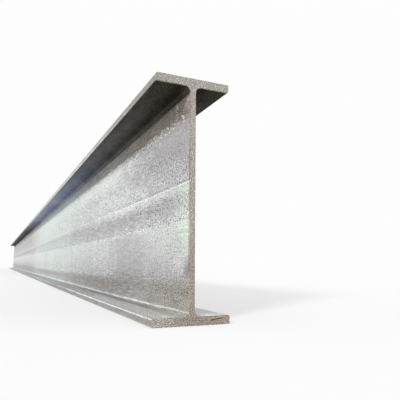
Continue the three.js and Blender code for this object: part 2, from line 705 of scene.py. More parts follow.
class SkinPlace:
    """The nodes that tell a finish where on the beam it is, all in millimetres."""

    RAGGED_LUMP: ClassVar[float] = 16.0  # size of the lumps by which a ragged stripe wanders
    RAGGED_ACROSS: ClassVar[float] = 6.0  # how far its long edges wander
    RAGGED_ALONG: ClassVar[float] = 30.0  # how far its ends wander
    RAGGED_DETAIL: ClassVar[float] = 4.0  # how many finer sizes of lump there are

    def __init__(self, tree: bpy.types.NodeTree, section: Section, stretch: float) -> None:
        """Adds the nodes.

        Args:
            tree: The material's node tree.
            section: The rolled section.
            stretch: How much longer the grain is along the beam than across it.
        """
        self.tree = tree
        self.depth = section.depth / MM
        place = add_node(tree, "ShaderNodeTexCoord").outputs["Object"]
        to_near_end = (0.0, section.length / 2 / MM, 0.0)
        in_mm = {"Vector": place, "Location": to_near_end, "Scale": (1.0 / MM,) * 3}
        self.at = add_node(tree, "ShaderNodeMapping", in_mm)
        drawn_out = {"Vector": self.at, "Scale": (1.0, 1.0 / stretch, 1.0)}
        self.rolled = add_node(tree, "ShaderNodeMapping", drawn_out)
        parts = add_node(tree, "ShaderNodeSeparateXYZ", {0: self.at}).outputs
        self.side, self.from_end, self.height = parts["X"], parts["Y"], parts["Z"]
        self.across = add_node(tree, "ShaderNodeMath", {0: self.side}, operation="ABSOLUTE")
        # all that lies higher than the lower flange counts as far beyond its toe
        higher = add_node(tree, "ShaderNodeMath", {0: self.height, 1: FOOT_TOP}, operation="GREATER_THAN")
        pushed = {0: higher, 1: BEYOND, 2: self.across}
        outward = add_node(tree, "ShaderNodeMath", pushed, operation="MULTIPLY_ADD")
        self.measures = {Run.UP: self.height, Run.ACROSS: self.across, Run.OUTWARD: outward}

    def moved(
        self, value: Fed, size: float, reach: float, detail: float = 2.0, vector: Fed | None = None
    ) -> bpy.types.Node:
        """Moves a value up and down by a noise.

        Args:
            value: The value.
            size: Size of the noise's largest lumps.
            reach: How much the value moves over the whole range of the noise.
            detail: How many finer sizes of lump there are.
            vector: Where the noise is read, or None for the place drawn out along the rolling.

        Returns:
            The moved value.
        """
        lumps = {"Vector": vector or self.rolled, "Scale": 1.0 / size, "Detail": detail}
        noise = add_node(self.tree, "ShaderNodeTexNoise", lumps)
        drift = add_node(self.tree, "ShaderNodeMath", {0: noise, 1: 0.5}, operation="SUBTRACT")
        drifted = {0: drift, 1: reach, 2: value}
        return add_node(self.tree, "ShaderNodeMath", drifted, operation="MULTIPLY_ADD")

    def between(self, value: Fed, low: float, high: float, fade: float) -> bpy.types.Node:
        """Masks what lies between two edges.

        Args:
            value: The value that has the edges.
            low: One edge.
            high: The other edge.
            fade: How far the mask fades across each edge.

        Returns:
            1 between the edges and 0 outside them.
        """
        half = fade / 2
        inside: Fed = 1.0
        for none, full in ((low - half, low + half), (high + half, high - half)):
            edge = {"Value": value, "From Min": none, "From Max": full}
            past = add_node(self.tree, "ShaderNodeMapRange", edge, interpolation_type="SMOOTHSTEP")
            inside = add_node(self.tree, "ShaderNodeMath", {0: past, 1: inside}, operation="MULTIPLY")
        return inside

    def masked(self, stripe: Stripe, pattern: Fed) -> bpy.types.Node:
        """Masks a stripe.

        Args:
            stripe: The stripe.
            pattern: What fills it.

        Returns:
            1 on the stripe and 0 off it, times its pattern.
        """
        up: Fed = self.measures[stripe.run]
        along: Fed = self.from_end
        if stripe.ragged:
            lump, detail = self.RAGGED_LUMP, self.RAGGED_DETAIL
            up = self.moved(up, lump, self.RAGGED_ACROSS * stripe.ragged, detail, self.at)
            along = self.moved(along, lump, self.RAGGED_ALONG * stripe.ragged, detail, self.at)
        beside = self.between(up, stripe.low, stripe.high, stripe.fade)
        within = self.between(along, stripe.start, stripe.stop, stripe.run_out)
        crossed = add_node(self.tree, "ShaderNodeMath", {0: beside, 1: within}, operation="MULTIPLY")
        return add_node(self.tree, "ShaderNodeMath", {0: crossed, 1: pattern}, operation="MULTIPLY")

    def striped(self, stripes: tuple[Stripe, ...], patterns: dict[Pattern, Fed]) -> tuple[Fed, Fed, Fed]:
        """Sums up what stripes do to the skin.

        Args:
            stripes: The stripes.
            patterns: What fills a stripe of each pattern.

        Returns:
            How much lighter they make the skin, how much of its speckle they take away, and their washes
            laid over white.
        """
        shift: Fed = 0.0
        calm: Fed = 0.0
        wash: Fed = linear_rgba("#FFFFFF")
        for stripe in stripes:
            mask = self.masked(stripe, patterns[stripe.pattern])
            if stripe.shift:
                lighter = {0: mask, 1: stripe.shift, 2: shift}
                shift = add_node(self.tree, "ShaderNodeMath", lighter, operation="MULTIPLY_ADD")
            if stripe.calm:
                calmer = {0: mask, 1: stripe.calm, 2: calm}
                calm = add_node(self.tree, "ShaderNodeMath", calmer, operation="MULTIPLY_ADD")
            if stripe.wash:
                laid = {"Factor": mask, "A": wash, "B": linear_rgba(stripe.wash)}
                wash = add_node(self.tree, "ShaderNodeMix", laid, **GLAZED)
        return shift, calm, wash

    def stained(self, colour: Fed, stain: Stain) -> bpy.types.Node:
        """Lays a ragged stain over a colour.

        Args:
            colour: The colour so far.
            stain: The stain.

        Returns:
            The colour with the stain.
        """
        apart = {0: self.at, 1: stain.centre}
        distance = add_node(self.tree, "ShaderNodeVectorMath", apart, operation="DISTANCE").outputs["Value"]
        ragged = self.moved(distance, stain.lump, stain.radius)
        inside = self.between(ragged, BEFORE, stain.radius * stain.edge, stain.radius * stain.softness)
        amount = add_node(self.tree, "ShaderNodeMath", {0: inside, 1: stain.strength}, operation="MULTIPLY")
        laid = {"Factor": amount, "A": colour, "B": linear_rgba(stain.colour)}
        return add_node(self.tree, "ShaderNodeMix", laid, data_type="RGBA")


def bare_material(name: str) -> bpy.types.Material:
    """Makes a material without any nodes.

    Args:
        name: The real material and how its surface was made.

    Returns:
        The material, ready for its nodes.
    """
    material = bpy.data.materials.new(name)
    material.use_nodes = True
    material.node_tree.nodes.clear()
    return material


def add_stops(ramp: bpy.types.Node, stops: list[tuple[float, tuple[float, ...]]]) -> bpy.types.NodeSocket:
    """Gives a colour ramp its stops.

    Args:
        ramp: The colour ramp.
        stops: Places from 0 to 1, each with its linear colour.

    Returns:
        The ramp's colour.
    """
    elements = ramp.color_ramp.elements
    while len(elements) < len(stops):
        elements.new(1.0)
    for element, (at, colour) in zip(elements, stops, strict=True):
        element.position = at
        element.color = colour
    return ramp.outputs["Color"]


@dataclass(frozen=True)
class MillScale:
    """Hot-rolled steel with its mill scale, weathered outdoors.

    The oxide skin is a dull silver-grey, lighter where it is dusty or rubbed, and painted paler and greener
    beyond the near end for the sheen that grazing light gives. Under the upper flange it is brown where
    rain never washes it, and painted darker where the flange's shadow falls. The rolls leave it banded
    along its length, and it is speckled with pits all over. What meets the eye is oxide and not bare metal,
    so it isn't metallic, and its low gloss comes and goes.

    Attributes:
        near_tones: Light and dark at the near end, as rolls and weather leave them, with a painted
            highlight along
        the lower flange's rim, by height in mm.
        far_tones: The same further along, painted lighter for the sheen that grazing light gives, with
            painted
        highlights along the flanges' rims.
        near_to_far: Where the first begin to give way to the second, and where they have, in mm.
        near_to_far_drift: Size of the lumps by which that place wanders, and how far, in mm.
        speckle_by_height: How speckled the skin is, by height in mm.
        colours: What each tone looks like.
        stripes: All that differs from one stretch of the beam to another.
        stretch: How much longer the grain is along the beam than across it.
        band_drifts: Size of the lumps by which the bands' edges wander, fine and slow, and how far, in mm.
        steady: Heights between which they run straight, as the rolls' collar made them, in mm.
        steady_fade: How far that fades, in mm.
        clouds: Size of the soft clouds that weather leaves, in mm, and how far they move the tone.
        grain: Size of a grain of scale in mm. Real grains are finer than a render shows, so they are drawn
            as coarse as they need to show.
        grain_reach: How much lighter and darker the grains are.
        cell: From one crumb or pit to the next in mm, drawn coarse for the same reason.
        cell_share: Share of the cells that can hold a crumb, and share of them that can hold a pit.
        crumb_radius: Radius of a crumb, as a share of a cell.
        pit_radius: Radius of a pit, as a share of a cell.
        spot_fade: How far the edge of either fades, as a share of a cell.
        pit_depth: How much darker a pit is.
        streak: Width of a scratch in mm, coarser than real ones, and how many times longer it is.
        streak_edge: Level of the noise at which a scratch begins, and how far its edge fades.
        smear: Width of a smear in mm, and how many times longer it is along the beam.
        water_run: Width of a run of water in mm, and how many times longer it is down the web.
        gloss: Roughness on average.
        gloss_patch: Size of the duller and glossier patches in mm, and how far they move the roughness.
        bump_strength: How strongly the grain stands out.
        bump_height: How high it stands, in metres.
    """

    near_tones: Stops = (
        # lower flange and its root
        (0.0, 0.64),
        (2.0, 0.56),
        (8.5, 0.54),
        (10.8, 0.74),
        (13.0, 0.60),
        # web
        (18.0, 0.60),
        (30.0, 0.60),
        (41.0, 0.54),
        (50.0, 0.62),
        (64.0, 0.69),
        (90.0, 0.78),
        (127.0, 0.86),
        (131.0, 0.80),
        (137.0, 0.78),
        (152.0, 0.67),
        (164.0, 0.69),
        (172.0, 0.80),
        (178.0, 0.83),
        (179.0, 0.70),
        (183.0, 0.72),
        (205.0, 0.71),
        (222.0, 0.67),
        (250.0, 0.70),
        (269.0, 0.68),
        (276.0, 0.71),
        (281.0, 0.76),
        (287.0, 0.82),
        (292.0, 0.79),
        (296.0, 0.68),
        # upper flange
        (302.0, 0.66),
        (305.0, 0.60),
        (308.0, 0.53),
    )
    far_tones: Stops = (
        (0.0, 0.50),
        (7.8, 0.49),
        (8.6, 0.66),
        (10.8, 0.65),
        (13.0, 0.53),
        (19.0, 0.53),
        (28.0, 0.48),
        (35.0, 0.44),
        (41.0, 0.49),
        (48.0, 0.64),
        (62.0, 0.72),
        (90.0, 0.78),
        (127.0, 0.81),
        (131.0, 0.70),
        (152.0, 0.65),
        (164.0, 0.69),
        (172.0, 0.78),
        (178.8, 0.84),
        (183.0, 0.80),
        (226.0, 0.82),
        (240.0, 0.90),
        (257.0, 0.98),
        (269.0, 0.87),
        (276.0, 0.92),
        (282.0, 0.98),
        (288.0, 1.0),
        (296.0, 0.95),
        (303.0, 0.95),
        (305.6, 0.95),
        (307.2, 0.67),
        (312.0, 0.62),
    )
    near_to_far: tuple[float, float] = (150.0, 480.0)
    near_to_far_drift: tuple[float, float] = (60.0, 260.0)
    speckle_by_height: Stops = (
        (0.0, 0.6),
        (18.0, 0.6),
        (30.0, 0.9),
        (56.0, 0.95),
        (66.0, 0.55),
        (122.0, 0.5),
        (132.0, 1.0),
        (162.0, 1.0),
        (170.0, 0.65),
        (178.0, 0.65),
        (182.0, 1.0),
        (220.0, 0.85),
        (245.0, 0.75),
        (262.0, 0.75),
        (272.0, 1.3),
        (312.0, 0.8),
    )
    colours: Shades = (
        (0.0, "#1B1916"),
        (0.2, "#37332E"),
        (0.45, "#756F69"),
        (0.6, "#999694"),
        (0.7, "#B2B1B3"),
        (0.8, "#CBCCCC"),
        (0.88, "#DADEDC"),
        (1.0, "#F6F9F6"),
    )
    stripes: tuple[Stripe, ...] = (
        # pale bloom beside the near end, and the scratches that handling left in it
        Stripe(70, 178, 14, BEFORE, 27, 16, shift=0.06, calm=0.20, wash="#FBFFFA", ragged=1.5),
        Stripe(133, 170, 8, BEFORE, 58, 40, shift=0.05, calm=0.15, wash="#FBFFFA", ragged=1.0),
        Stripe(88, 130, 20, BEFORE, 100, 110, wash="#FBFFFA"),
        Stripe(80, 130, 6, BEFORE, 44, 20, shift=0.09, pattern=Pattern.STREAKS),
        Stripe(150, 168, 8, BEFORE, 45, 30, shift=0.03),
        Stripe(60, 80, 8, 22, 56, 14, shift=0.05, ragged=1.0),
        Stripe(60, 84, 12, BEFORE, 20, 10, shift=-0.09, ragged=0.6),
        # bright line that a collar of the rolls left, and the polished strip under it
        Stripe(176.8, 178.5, 0.5, BEFORE, 560, 300, shift=0.11),
        Stripe(162, 178, 4, BEFORE, 64, 16, wash="#FBFFFC", ragged=1.0),
        Stripe(178.9, 181.2, 0.8, BEFORE, 45, 40, shift=-0.11),
        Stripe(162, 178, 5, 100, 450, 90, shift=0.07, ragged=0.5),
        Stripe(169, 182, 5, 230, 480, 80, shift=0.03),
        Stripe(160, 180, 6, 700, PALE_STOP, 200, shift=-0.05),
        Stripe(183, 202, 9, 50, 380, 90, shift=0.05, ragged=0.5),
        Stripe(192, 204, 6, BEFORE, 110, 40, shift=-0.03),
        # smooth patch under the sheltered strip
        Stripe(232, 266, 10, BEFORE, 105, 60, calm=0.35, wash="#FFFDF9", ragged=1.0),
        # duller and brighter patches that the cooling bed left a little further along
        Stripe(44, 122, 16, 200, 420, 120, shift=-0.10, ragged=1.0),
        Stripe(184, 262, 12, 190, 520, 120, shift=0.04, ragged=1.0),
        Stripe(196, 216, 8, 250, 640, 150, shift=0.03),
        # paler and greener beyond the first metre: weathered, and a painted sheen where grazing light
        # reflects off the skin
        Stripe(BEFORE, 235, 40, 1000, PALE_STOP, 700, shift=0.08),
        Stripe(BEFORE, ABOVE, 10, 640, PALE_STOP, 500, wash="#F8FFFB"),
        Stripe(14, 58, 10, 750, PALE_STOP, 500, shift=0.08),
        Stripe(BEFORE, 24, 8, 1000, PALE_STOP, 300, shift=0.02),
        Stripe(136, 164, 14, 950, PALE_STOP, 500, shift=0.05),
        Stripe(246, 263, 6, 420, 800, 200, shift=0.09, ragged=1.0),
        # strip under the upper flange that rain never washes, brown with dust, painted darker with a ragged
        # edge where the flange's shadow falls and painted lighter further along for the sheen of grazing
        # light, and the crumbs on its edge
        Stripe(269.5, 305, 1.6, BEFORE, 300, 200, shift=-0.11, ragged=1.4),
        Stripe(270.8, 305, 1.6, 300, PALE_STOP, 200, shift=-0.24, ragged=1.3),
        Stripe(269.5, 305, 1.6, PALE_STOP, BEYOND, 200, shift=-0.11, ragged=1.4),
        Stripe(268.5, 305, 3, BEFORE, 260, 240, wash="#FFF4E6", ragged=1.4),
        Stripe(268.5, 305, 3, 190, 620, 180, wash="#FBFFF3", ragged=1.4),
        Stripe(270.8, 305, 3, 800, PALE_STOP, 600, wash="#F4FFFF", ragged=1.3),
        Stripe(265, 297, 5, 850, PALE_STOP, 500, shift=0.14),
        Stripe(289, 297, 4, 330, PALE_STOP, 150, shift=0.05),
        Stripe(267, 279, 6, BEFORE, 16, 16, shift=0.04),
        Stripe(269, 296, 6, BEFORE, 200, 200, calm=0.35),
        Stripe(262, 271, 3, BEFORE, 70, 60, shift=-0.05, ragged=1.0),
        Stripe(261, 272.5, 3, 24, 900, 12, shift=0.64, pattern=Pattern.CRUMBS),
        Stripe(263, 276, 5, 210, 430, 90, shift=-0.05, ragged=1.0),
        # bright hairline at the foot of the web, over a foot browned by splashes at the near end
        Stripe(14.3, 15.9, 0.5, BEFORE, 100, 100, shift=0.20),
        Stripe(12.9, 14.9, 0.5, 100, 290, 100, shift=0.28),
        Stripe(12.0, 14.0, 0.5, 290, BEYOND, 120, shift=0.27),
        Stripe(11, 48, 10, BEFORE, 150, 260, wash="#FFFCEF"),
        Stripe(18, 38, 6, BEFORE, 45, 30, shift=0.03),
        Stripe(26, 44, 6, 60, 400, 80, shift=-0.03),
        # one pale run of water beside the near end, and faint ones further along
        Stripe(271, 299, 8, 45, 55, 5, shift=0.16, ragged=0.3),
        Stripe(196, 312, 30, 380, BEYOND, 300, shift=0.14, pattern=Pattern.RUNS),
        Stripe(20, 178, 16, 330, BEYOND, 240, shift=0.14, pattern=Pattern.RUNS),
        Stripe(BEFORE, ABOVE, 10, 1400, BEYOND, 900, calm=0.3),
        # scale that the rolls smeared along, coarse enough to show further off
        Stripe(BEFORE, 60, 10, 110, BEYOND, 200, shift=0.42, pattern=Pattern.SMEARS),
        Stripe(60, 126, 10, 160, BEYOND, 200, shift=0.22, pattern=Pattern.SMEARS),
        Stripe(126, ABOVE, 10, 110, BEYOND, 200, shift=0.38, pattern=Pattern.SMEARS),
        Stripe(BEFORE, ABOVE, 10, 420, BEYOND, 200, shift=0.16, pattern=Pattern.SMEARS),
        # edge that the saw warmed and the damp has browned, and on the web painted darker where the burr's
        # shade falls
        Stripe(66, 220, 8, BEFORE, 6.2, 1.6, shift=-0.18, wash="#FFF6E8"),
        Stripe(220, 264, 8, BEFORE, 4.8, 1.4, shift=-0.05, wash="#FFF6E8"),
        Stripe(11, 62, 4, BEFORE, 4.8, 1.4, shift=0.04, wash="#FFF3E2"),
        # painted highlights along the rim of the lower flange and along the lower rim of the upper flange's
        # toe
        Stripe(8.4, 10.1, 0.3, BEFORE, 700, 600, shift=0.34),
        Stripe(303.2, 305.4, 0.5, 120, 330, 80, shift=0.16),
        # darker against the root of the lower flange, and lighter towards its toe
        Stripe(6, 14, 4, 60, 380, 60, shift=-0.05, run=Run.OUTWARD),
        Stripe(9, 19, 9, 110, 700, 110, shift=-0.14, ragged=1.0, run=Run.OUTWARD),
        Stripe(20, 47, 9, BEFORE, 560, 500, shift=0.10, ragged=1.0, run=Run.OUTWARD),
        Stripe(11, 34, 6, BEFORE, 27, 24, shift=0.14, ragged=1.0, run=Run.OUTWARD),
        Stripe(16, 60, 6, 850, PALE_STOP, 500, shift=-0.08, run=Run.OUTWARD),
    )
    stretch: float = 2.6
    band_drifts: tuple[tuple[float, float], tuple[float, float]] = ((3.5, 3.0), (30.0, 4.0))
    steady: tuple[float, float] = (171.0, 186.0)
    steady_fade: float = 5.0
    clouds: tuple[tuple[float, float], ...] = ((22.0, 0.12), (90.0, 0.10))
    grain: float = 1.5
    grain_reach: float = 3.5
    cell: float = 3.0
    cell_share: float = 0.4
    crumb_radius: float = 0.4
    pit_radius: float = 0.26
    spot_fade: float = 0.2
    pit_depth: float = 0.95
    streak: tuple[float, float] = (1.3, 50.0)
    streak_edge: tuple[float, float] = (0.07, 0.16)
    smear: tuple[float, float] = (3.5, 10.0)
    water_run: tuple[float, float] = (14.0, 20.0)
    gloss: float = 0.38
    gloss_patch: tuple[float, float] = (22.0, 0.14)
    bump_strength: float = 0.25
    bump_height: float = 0.12 * MM

    def build(self, section: Section) -> bpy.types.Material:
        """Makes the finish of the rolled faces.

        Args:
            section: The rolled section, for where its faces lie.

        Returns:
            The material.
        """
        material = bare_material("weathered_mill_scale")
        tree = material.node_tree
        place = SkinPlace(tree, section, self.stretch)
        height = self._ragged_height(place)
        patterns = self._patterns(place)
        # the stripes are summed up before any ramp is made, which keeps the shader small enough to compile
        shift, calm, wash = place.striped(self.stripes, patterns)
        for size, reach in self.clouds:
            shift = place.moved(shift, size, reach)
        tone = add_node(tree, "ShaderNodeMath", {0: self._tone_by_height(place, height), 1: shift})
        speckle = self._by_height(place, height, self.speckle_by_height)
        roughened = add_node(tree, "ShaderNodeMath", {0: speckle, 1: calm}, operation="SUBTRACT")
        ramp = add_node(tree, "ShaderNodeValToRGB", {0: tone})
        colour: Fed = add_stops(ramp, [(at, linear_rgba(shade)) for at, shade in self.colours])
        grain = self._grain(place, patterns[Pattern.PITS])
        lit = add_node(tree, "ShaderNodeMath", {0: grain, 1: roughened, 2: 1.0}, operation="MULTIPLY_ADD")
        for layer in (wash, lit):
            laid = {"Factor": 1.0, "A": colour, "B": layer}
            colour = add_node(tree, "ShaderNodeMix", laid, clamp_result=True, **GLAZED)
        raised = {"Height": grain, "Strength": self.bump_strength, "Distance": self.bump_height}
        shader = add_node(
            tree,
            "ShaderNodeBsdfPrincipled",
            {
                "Base Color": place.stained(colour, END_STAIN),
                "Roughness": place.moved(self.gloss, *self.gloss_patch),
                "Normal": add_node(tree, "ShaderNodeBump", raised),
            },
        )
        add_node(tree, "ShaderNodeOutputMaterial", {"Surface": shader})
        return material

    def _ragged_height(self, place: SkinPlace) -> bpy.types.Node:
        """Makes the bands' edges wander, all but the straight ones.

        Args:
            place: Where on the beam the finish is.

        Returns:
            The height by which the bands are laid out.
        """
        fine, slow = self.band_drifts
        ragged = place.moved(place.moved(place.height, *fine, vector=place.at), *slow)
        straight = place.between(place.height, *self.steady, self.steady_fade)
        return add_node(place.tree, "ShaderNodeMix", {"Factor": straight, "A": ragged, "B": place.height})

    def _tone_by_height(self, place: SkinPlace, height: bpy.types.Node) -> bpy.types.Node:
        """Lays out light and dark by height, one way at the near end and another beyond, where the tones
        hold a painted sheen.

        Args:
            place: Where on the beam the finish is.
            height: The height, with its ragged edges.

        Returns:
            The tone.
        """
        near, far = (self._by_height(place, height, stops) for stops in (self.near_tones, self.far_tones))
        wandering = place.moved(place.from_end, *self.near_to_far_drift, detail=3.0, vector=place.at)
        start, stop = self.near_to_far
        reached = place.between(wandering, (start + stop) / 2, BEYOND, stop - start)
        # the far tones, with their painted sheen, end where the paler stretch ends
        left = place.between(place.from_end, -BEYOND, PALE_STOP, PALE_FADE)
        paler = add_node(place.tree, "ShaderNodeMath", {0: reached, 1: left}, operation="MULTIPLY")
        return add_node(place.tree, "ShaderNodeMix", {"Factor": paler, "A": near, "B": far})

    def _by_height(self, place: SkinPlace, height: bpy.types.Node, stops: Stops) -> bpy.types.NodeSocket:
        """Turns a height into a value.

        Args:
            place: Where on the beam the finish is.
            height: The height in mm.
            stops: Heights in mm, each with its value.

        Returns:
            The value.
        """
        share = add_node(place.tree, "ShaderNodeMath", {0: height, 1: place.depth}, operation="DIVIDE")
        ramp = add_node(place.tree, "ShaderNodeValToRGB", {0: share})
        return add_stops(ramp, [(up / place.depth, (value, value, value, 1.0)) for up, value in stops])

    def _patterns(self, place: SkinPlace) -> dict[Pattern, Fed]:
        """Makes what the stripes are filled with.

        Args:
            place: Where on the beam the finish is.

        Returns:
            Each pattern, from 0 to 1, but smears and runs from -0.5 to 0.5.
        """
        tree = place.tree
        drawn_out = []
        for (width, length), axis, detail in (
            (self.streak, 1, 1.0),
            (self.smear, 1, 1.0),
            (self.water_run, 2, 3.0),
        ):
            scale = [1.0, 1.0, 1.0]
            scale[axis] = 1.0 / length
            stretched = add_node(tree, "ShaderNodeMapping", {"Vector": place.at, "Scale": scale})
            drawn_out.append(place.moved(0.0, width, 1.0, detail, stretched))
        streaks, smears, runs = drawn_out
        level, fade = self.streak_edge
        spread = {"Vector": place.rolled, "Scale": 1.0 / self.cell}
        cells = add_node(tree, "ShaderNodeTexVoronoi", spread).outputs
        chance = add_node(tree, "ShaderNodeSeparateColor", {0: cells["Color"]}).outputs[0]
        spots = []
        for radius, side, share in (
            (self.crumb_radius, "LESS_THAN", self.cell_share),
            (self.pit_radius, "GREATER_THAN", 1.0 - self.cell_share),
        ):
            picked = add_node(tree, "ShaderNodeMath", {0: chance, 1: share}, operation=side)
            spot = {0: place.between(cells["Distance"], BEFORE, radius, self.spot_fade), 1: picked}
            spots.append(add_node(tree, "ShaderNodeMath", spot, operation="MULTIPLY"))
        crumbs, pits = spots
        return {
            Pattern.PLAIN: 1.0,
            Pattern.CRUMBS: crumbs,
            Pattern.STREAKS: place.between(streaks, level, BEYOND, fade),
            Pattern.SMEARS: smears,
            Pattern.RUNS: runs,
            Pattern.PITS: pits,
        }

    def _grain(self, place: SkinPlace, pits: Fed) -> bpy.types.Node:
        """Speckles the skin with fine grains of scale and sinks the pits.

        Args:
            place: Where on the beam the finish is.
            pits: 1 in a pit and 0 outside it.

        Returns:
            How much lighter, or darker below 0, the skin is as a share of its colour.
        """
        grains = place.moved(0.0, self.grain, self.grain_reach, detail=1.0)
        sunk = {0: pits, 1: -self.pit_depth, 2: grains}
        return add_node(place.tree, "ShaderNodeMath", sunk, operation="MULTIPLY_ADD")


@dataclass(frozen=True)
class ShelteredScale:
    """Mill scale on the undersides, which rain and sun don't reach.

    It is still the dark oxide of the rolls, browned by dust at the near end. Further along it is painted
    lighter and slate blue, a painted sheen and reflection where the underside is seen at a grazing angle.
    Dust takes all the gloss off it. Its outer rim has a painted highlight, and it is lighter right at the
    sawn end.

    Attributes:
        colours: What each tone looks like.
        near_tone: How light it is at the near end.
        tone_per_metre: How much lighter it is painted with each metre, a painted sheen that grows as the
            underside
        is seen at an ever more grazing angle.
        far_tone: How light it is at most.
        brow: Strip near the outer edge that lightens more slowly, from and to, in mm from the middle.
        brow_fade: How far the strip's edges fade, in mm.
        brow_per_metre: How much more slowly it lightens.
        foot_tones: How light the lower flange's underside and rim are, at the near end and further along.
        foot_length: Over what length that changes, in mm.
        stripes: All that differs from one stretch to another.
        stretch: How much longer the grain is along the beam than across it.
        clouds: Size of the grain and of two sizes of cloud in mm, and how far they move the tone. The grain
            is drawn as coarse as it needs to show.
        patch: Size of the patches of painted slate-blue reflection in mm, and how strongly they come and
            go.
        patch_edge: Level at which a patch begins, and how far its edge fades.
        roughness: How matt it is.
    """

    colours: Shades = (
        (0.0, "#191715"),
        (0.2, "#343230"),
        (0.45, "#73716F"),
        (0.7, "#B0B0B0"),
        (1.0, "#EEEEEE"),
    )
    near_tone: float = 0.285
    tone_per_metre: float = 0.53
    far_tone: float = 0.86
    brow: tuple[float, float] = (44.0, 50.6)
    brow_fade: float = 5.0
    brow_per_metre: float = -0.14
    foot_tones: tuple[float, float] = (0.9, 0.55)
    foot_length: float = 1000.0
    stripes: tuple[Stripe, ...] = (
        # darker towards the web, where the least light gets, but lighter on the fillet and at the near end
        Stripe(BEFORE, 23, 26, BEFORE, BEYOND, 1, shift=-0.12, run=Run.ACROSS),
        Stripe(BEFORE, 300.8, 2, BEFORE, BEYOND, 1, shift=0.11),
        Stripe(BEFORE, 14, 8, BEFORE, 25, 20, shift=0.07, run=Run.ACROSS),
        # painted highlight along the outer rim, and lighter at the sawn edge
        Stripe(50.8, BEYOND, 0.4, BEFORE, BEYOND, 1, shift=0.34, run=Run.ACROSS),
        Stripe(BEFORE, ABOVE, 1, BEFORE, 2.6, 1.2, shift=0.42),
        # dark again beyond the stretch that is painted paler with sheen
        Stripe(BEFORE, ABOVE, 1, PALE_STOP, BEYOND, PALE_FADE, shift=-0.34),
        # brown dust at the near end, and beyond it patches of painted slate-blue reflection
        Stripe(BEFORE, ABOVE, 1, -BEYOND, 130, 260, wash="#FFFAEC"),
        Stripe(3, 44, 12, 450, PALE_STOP, 340, wash="#CDD5FB", run=Run.ACROSS, pattern=Pattern.PATCHES),
    )
    stretch: float = 2.4
    clouds: tuple[tuple[float, float], ...] = ((1.3, 0.45), (20.0, 0.16), (80.0, 0.12))
    patch: tuple[float, float] = (90.0, 1.3)
    patch_edge: tuple[float, float] = (-0.2, 0.6)
    roughness: float = 0.7

    def build(self, section: Section) -> bpy.types.Material:
        """Makes the finish of the undersides.

        Args:
            section: The rolled section, for where its faces lie.

        Returns:
            The material.
        """
        material = bare_material("sheltered_mill_scale")
        tree = material.node_tree
        place = SkinPlace(tree, section, self.stretch)
        upper = place.between(place.height, FOOT_TOP, BEYOND, 1.0)
        level, fade = self.patch_edge
        # patches of painted slate-blue reflection, on the upper flange's underside alone
        patches = place.between(place.moved(0.0, *self.patch), level, BEYOND, fade)
        blue = add_node(tree, "ShaderNodeMath", {0: patches, 1: upper}, operation="MULTIPLY")
        patterns: dict[Pattern, Fed] = {Pattern.PLAIN: 1.0, Pattern.PATCHES: blue}
        shift, _, wash = place.striped(self.stripes, patterns)
        tone = add_node(tree, "ShaderNodeMath", {0: self._tone_by_length(place), 1: shift})
        near_foot, far_foot = self.foot_tones
        dulled = {
            "Value": place.from_end,
            "From Max": self.foot_length,
            "To Min": near_foot,
            "To Max": far_foot,
        }
        foot = add_node(tree, "ShaderNodeMapRange", dulled)
        tone = add_node(tree, "ShaderNodeMix", {"Factor": upper, "A": foot, "B": tone})
        for size, reach in self.clouds:
            tone = place.moved(tone, size, reach)
        ramp = add_node(tree, "ShaderNodeValToRGB", {0: tone})
        colour = add_stops(ramp, [(at, linear_rgba(shade)) for at, shade in self.colours])
        washed = add_node(tree, "ShaderNodeMix", {"Factor": 1.0, "A": colour, "B": wash}, **GLAZED)
        shader = add_node(
            tree,
            "ShaderNodeBsdfPrincipled",
            {"Base Color": washed, "Roughness": self.roughness, "Specular IOR Level": 0.0},
        )
        add_node(tree, "ShaderNodeOutputMaterial", {"Surface": shader})
        return material

    def _tone_by_length(self, place: SkinPlace) -> bpy.types.Node:
        """Lightens the upper flange's underside steadily away from the near end, up to a limit, as a
        painted sheen.

        Args:
            place: Where on the beam the finish is.

        Returns:
            The tone.
        """
        brow = place.between(place.across, *self.brow, self.brow_fade)
        # painted sheen: lighter with each metre away from the near end
        slower = {0: brow, 1: self.brow_per_metre * MM, 2: self.tone_per_metre * MM}
        rise = add_node(place.tree, "ShaderNodeMath", slower, operation="MULTIPLY_ADD")
        further = {0: place.from_end, 1: rise, 2: self.near_tone}
        lighter = add_node(place.tree, "ShaderNodeMath", further, operation="MULTIPLY_ADD")
        return add_node(place.tree, "ShaderNodeMath", {0: lighter, 1: self.far_tone}, operation="MINIMUM")


